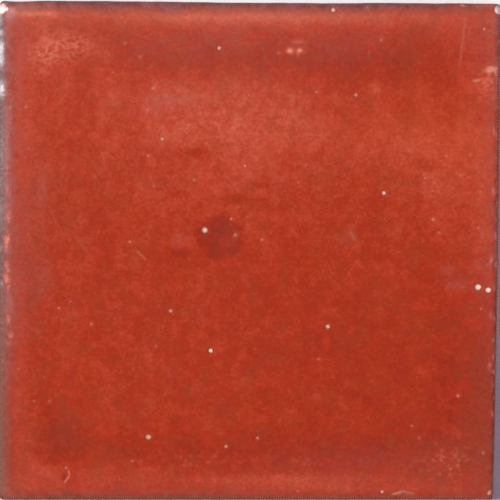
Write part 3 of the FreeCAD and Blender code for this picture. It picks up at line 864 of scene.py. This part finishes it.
tree, given, put = shader_group(
    "glaze_marks",
    [("Place", VECTOR), ("Pit", VECTOR), ("Scratch", VECTOR)],
    [("Heart", VALUE), ("Paleness", VALUE), ("Wall", VALUE), ("Rub", VALUE)],
)
glaze_marks = tree
uneven = cloud(given["Place"], 0.45, 2.0)
pit_x, pit_y, pit_strength = parts_of(given["Pit"])
off_pit = calc("MULTIPLY_ADD", pit_x, pit_x, calc("MULTIPLY", pit_y, pit_y))
off_pit = calc("ADD", calc("SQRT", off_pit), calc("MULTIPLY_ADD", uneven, 0.9, -0.45))
heart = calc("MULTIPLY", between(off_pit, 1.4, 0.2), pit_strength)
tree.links.new(calc("MINIMUM", heart, 1.0), put["Heart"])
tree.links.new(between(pit_strength, 0.65, 1.2), put["Paleness"])
wall_depth = calc("MULTIPLY", pit_strength, 1.1)
wall_depth = calc("MULTIPLY", pit_strength, wall_depth, clamp=True)
tree.links.new(calc("MULTIPLY", between(off_pit, 2.0, 1.2), wall_depth), put["Wall"])
across, along, strength = parts_of(given["Scratch"])
rub = calc("MULTIPLY", between(calc("ABSOLUTE", across), 1.3, 0.1), strength)
rub = calc("MULTIPLY", rub, between(calc("ABSOLUTE", along), 1.1, 0.5))
rub = calc("MULTIPLY", rub, between(uneven, 0.35, 0.6, 0.5, 1.0))
tree.links.new(rub, put["Rub"])


# The finish of the glazed skin
# The coat lies over the clay with its marks. Along the arris it is painted dark as shade: brown at
# the front and right, mauve at the back and left, where the mauve also paints a reflection of the
# pale surround. The mesh carries how much of each there is.

def painted(tree, name):
    """What the mesh carries under a name at each of its points, as a vector."""
    return node("ShaderNodeAttribute", {}, tree, attribute_name=name).outputs["Vector"]


def blend(amount, first, second):
    """Two values mixed by an amount."""
    return node("ShaderNodeMix", {0: amount, 2: first, 3: second}, data_type="FLOAT").outputs[0]


glazed_clay, tree, surface, place = finish_of("glazed_terracotta")
coverage, pooling, edge_shading = parts_of(painted(tree, "glaze_state"))
netting, boiling, milkiness_and_highlight = parts_of(painted(tree, "glaze_flaws"))
freshness, smokiness, rubbing_and_glints = parts_of(painted(tree, "edge_state"))
dullness, liming_and_highlight, browning = parts_of(painted(tree, "edge_turn"))
body = node("ShaderNodeGroup", {"Place": place}, node_tree=fired_clay).outputs
coat_inputs = {"Place": place, "Pool": pooling, "Net": netting, "Boil": boiling}
coat = node("ShaderNodeGroup", coat_inputs, node_tree=red_glaze).outputs
pits, scratches = [painted(tree, name) for name in ("pit_place", "scratch_place")]
mark_inputs = {"Place": place, "Pit": pits, "Scratch": scratches}
marks = node("ShaderNodeGroup", mark_inputs, node_tree=glaze_marks).outputs

# the painted shade along the arris, smoked streaks down the sides, the arris rubbed on the right
# and painted with highlights on the left, and lime with one painted highlight
ragged = cloud(place, 1.2, 3.0, 0.6)
edge_shade_back = calc("MULTIPLY_ADD", ragged, 0.5, -0.25)
edge_shade_back = calc("MULTIPLY", calc("ADD", edge_shading, edge_shade_back, clamp=True), 0.95)
axes = parts_of(place)
# mauve towards the back and left: on the back arris, painted shade and a painted reflection of the
# surround
mauve = calc("MULTIPLY_ADD", axes[1], 1.5, calc("MULTIPLY", axes[0], -0.7))
mauve = between(mauve, -20 * MM, 80 * MM)
# the right arris and wall are painted lighter, as painted light against the shade they lie in
right_painted_light = between(axes[0], 66 * MM, 74 * MM)
cloudy = cloud(place, 3.0, 3.0)
brown_tone = stops(cloudy, [(0.35, srgb(118, 56, 44)), (0.65, srgb(148, 74, 60))])
mauve_tone = stops(cloudy, [(0.35, srgb(108, 60, 62)), (0.65, srgb(134, 80, 83))])
edge_shade_tone = tint(mauve, brown_tone, mauve_tone)
edge_shade_tone = tint(calc("MULTIPLY", right_painted_light, 0.6), edge_shade_tone, srgb(196, 112, 92))
inner_tone = stops(cloudy, [(0.35, srgb(134, 54, 40)), (0.65, srgb(158, 72, 54))])
edge_shade_tone = tint(between(edge_shading, 0.35, 0.95), inner_tone, edge_shade_tone)
streaks = cloud(stretched(place, (1.0, 1.0, 0.2)), 0.9, 4.0, 0.7)
grey_tone = tint(mauve, srgb(122, 60, 46), srgb(104, 74, 72))
grey_tone = tint(right_painted_light, grey_tone, srgb(178, 112, 96))
streak_tone = tint(mauve, srgb(182, 106, 90), srgb(170, 130, 126))
grey_tone = tint(between(streaks, 0.40, 0.68, 0.0, 0.7), grey_tone, streak_tone)
edge_shade_tone = tint(calc("MULTIPLY", smokiness, 0.8), edge_shade_tone, grey_tone)
tone = tint(edge_shade_back, coat["Colour"], edge_shade_tone)
# pink where the right arris is rubbed; on the left arris and its spots, painted highlights
rub_and_glint_back = calc("MULTIPLY", rubbing_and_glints, between(ragged, 0.4, 0.6, 0.3, 0.9))
tone = tint(rub_and_glint_back, tone, srgb(228, 140, 126))
# lime, and one painted highlight by the back left chip
limed_and_highlit = calc("MULTIPLY", liming_and_highlight, between(streaks, 0.3, 0.6, 0.6, 1.0))
tone = tint(limed_and_highlit, tone, srgb(248, 240, 246))

# brown and orange casts, milky film with one painted highlight, then rubbed scratches and the
# pits, whose walls are painted dark as shade
tone = tint(between(browning, 0.0, 0.5, 0.0, 0.5), tone, srgb(116, 64, 44))
tone = tint(between(browning, 0.0, -0.5, 0.0, 0.5), tone, srgb(214, 78, 26))
milky = between(cloud(place, 3.0, 4.0, 0.7), 0.3, 0.7, 0.4, 1.3)
tone = tint(calc("MULTIPLY", milkiness_and_highlight, milky), tone, srgb(186, 110, 102))
tone = tint(calc("MULTIPLY", marks["Rub"], 0.6, clamp=True), tone, srgb(236, 142, 110))
# painted shade on each pit's crater wall
tone = tint(calc("MULTIPLY", marks["Wall"], 0.5), tone, srgb(100, 36, 20))
heart_tone = tint(marks["Paleness"], srgb(236, 118, 92), srgb(255, 216, 190))
tone = tint(marks["Heart"], tone, heart_tone)

# bare clay where there is no coat, and broken clay in the chips
coat_edge = calc("ADD", coverage, calc("MULTIPLY_ADD", ragged, 0.6, -0.3))
covered = between(coat_edge, 0.38, 0.58)
coloured = tint(covered, tint(0.5, body["Colour"], grey_tone), tone)
broken = between(calc("MULTIPLY_ADD", ragged, 0.2, freshness), 0.15, 0.65)
broken_tone = stops(freshness, [(0.35, srgb(226, 128, 112)), (0.90, srgb(255, 241, 232))])
tree.links.new(tint(broken, coloured, broken_tone), surface["Base Color"])
covered = calc("MULTIPLY", covered, calc("SUBTRACT", 1.0, broken))

# rougher where it is scratched, turns over the arris or has burst, and roughest on the clay
roughness = calc("MULTIPLY_ADD", marks["Rub"], 0.3, coat["Roughness"])
ragged_turn = calc("MULTIPLY_ADD", cloud(place, 1.6, 3.0, 0.6), 1.2, -0.6)
ragged_turn = between(calc("ADD", dullness, ragged_turn), 0.45, 0.60, 0.0, 0.8)
roughness = calc("ADD", roughness, ragged_turn)
in_pit = between(marks["Wall"], 0.0, 0.15, 0.0, 0.8)
roughness = calc("ADD", roughness, in_pit, clamp=True)
tree.links.new(blend(covered, body["Roughness"], roughness), surface["Roughness"])

# the relief of the coat, with pits, scratches and blisters along its shaded arris band
coat_height = calc("MULTIPLY_ADD", marks["Wall"], -0.5, coat["Height"])
coat_height = calc("MULTIPLY_ADD", marks["Rub"], -0.3, coat_height)
coat_height = calc("MULTIPLY_ADD", coat_height, 0.35, 1.0)
blistered = calc("MULTIPLY", edge_shading, calc("ADD", ragged, streaks))
coat_height = calc("MULTIPLY_ADD", blistered, 1.4, coat_height)
relief = blend(covered, body["Height"], coat_height)
bump = node("ShaderNodeBump", {"Strength": 0.5, "Distance": BUMP_HEIGHT, "Height": relief})
tree.links.new(bump.outputs[0], surface["Normal"])

# the mesh is filled and put in the place of the plain solid
mesh = bpy.data.meshes.new("glazed_tile")
mesh.from_pydata((points * MM).tolist(), [], quads.tolist() + seam.tolist())
for name, values in (
    ("glaze_state", skin_state),
    ("glaze_flaws", skin_flaws),
    ("edge_state", edge_state),
    ("edge_turn", edge_turn),
    ("pit_place", pit_place),
    ("scratch_place", nearest_scratch(x, y)),
):
    layer = mesh.attributes.new(name, "FLOAT_VECTOR", "POINT")
    layer.data.foreach_set("vector", values.astype(np.float32).ravel())
mesh.materials.append(glazed_clay)
mesh.materials.append(base_clay)
under = np.zeros(len(mesh.polygons), dtype=np.int32)
face_quads = FACE_CELLS**2
base_quads = (base_u.shape[0] - 1) * (base_u.shape[1] - 1)
under[face_quads:face_quads + base_quads] = 1
mesh.polygons.foreach_set("material_index", under)
mesh.shade_smooth()
mesh.set_sharp_from_angle(angle=math.radians(40))
mesh.update()
tile = bpy.data.objects.new("glazed_tile", mesh)
bpy.context.scene.collection.objects.link(tile)
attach(tile, "root")
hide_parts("tile")


# The floor it lies on
# A plain sheet of pale matt board, wide enough to reach the edge of every view. It belongs to
# the stage and not to the tile.

FLOOR_HALF = 6.0
floor_mesh = bpy.data.meshes.new("pale_floor")
floor_corners = [(-FLOOR_HALF, -FLOOR_HALF, 0), (FLOOR_HALF, -FLOOR_HALF, 0), (FLOOR_HALF, FLOOR_HALF, 0)]
floor_mesh.from_pydata(floor_corners + [(-FLOOR_HALF, FLOOR_HALF, 0)], [], [(0, 1, 2, 3)])
floor = bpy.data.objects.new("pale_floor", floor_mesh)
bpy.context.scene.collection.objects.link(floor)
floor_finish = bpy.data.materials.new("pale_floor")
floor_finish.use_nodes = True
floor_surface = floor_finish.node_tree.nodes["Principled BSDF"]
floor_surface.inputs["Base Color"].default_value = srgb(246, 245, 247)
floor_surface.inputs["Roughness"].default_value = 0.9
floor_mesh.materials.append(floor_finish)


# Soft studio light
# A soft lamp from the left rakes over the glaze and a weak violet one from the front right fills
# the shade. An even pale surround lights the rest.

def soft_lamp(name, place, width, watts, colour):
    """A square area lamp that faces the tile."""
    lamp = bpy.data.lights.new(name, "AREA")
    lamp.size, lamp.energy, lamp.color = width, watts, colour[:3]
    holder = bpy.data.objects.new(name, lamp)
    holder.location = place
    x, y, z = place
    holder.rotation_euler = (math.atan2(math.hypot(x, y), z), 0, math.atan2(x, -y))
    bpy.context.scene.collection.objects.link(holder)


soft_lamp("key_lamp", (-1.7, 0.25, 2.75), 0.7, 102.0, srgb(253, 255, 252))
soft_lamp("fill_lamp", (1.2, -0.9, 1.6), 1.2, 7.0, srgb(246, 224, 255))

surround = bpy.data.worlds.new("pale_surround")
surround.use_nodes = True
bpy.context.scene.world = surround
sky = surround.node_tree
seen = sky.nodes.new("ShaderNodeLightPath").outputs["Is Camera Ray"]
sky.nodes["Background"].inputs["Color"].default_value = srgb(250, 236, 255)
sky.links.new(between(seen, 0.0, 1.0, 0.12, 1.0), sky.nodes["Background"].inputs["Strength"])


# The camera
# Straight above the face, far off with a long lens, so that the sides hardly show. The view is
# as tight as the face is wide.

VIEW_WIDTH = 0.1535                         # metres of the face across the frame
VIEW_CENTRE = (0.0002, 0.0)
camera = bpy.data.cameras.new("top_camera")
camera.lens = 1000.0
camera_holder = bpy.data.objects.new("top_camera", camera)
distance = VIEW_WIDTH * camera.lens / camera.sensor_width
camera_holder.location = (*VIEW_CENTRE, THICKNESS * MM + distance)
bpy.context.scene.collection.objects.link(camera_holder)
bpy.context.scene.camera = camera_holder
bpy.context.scene.view_settings.view_transform = "Standard"
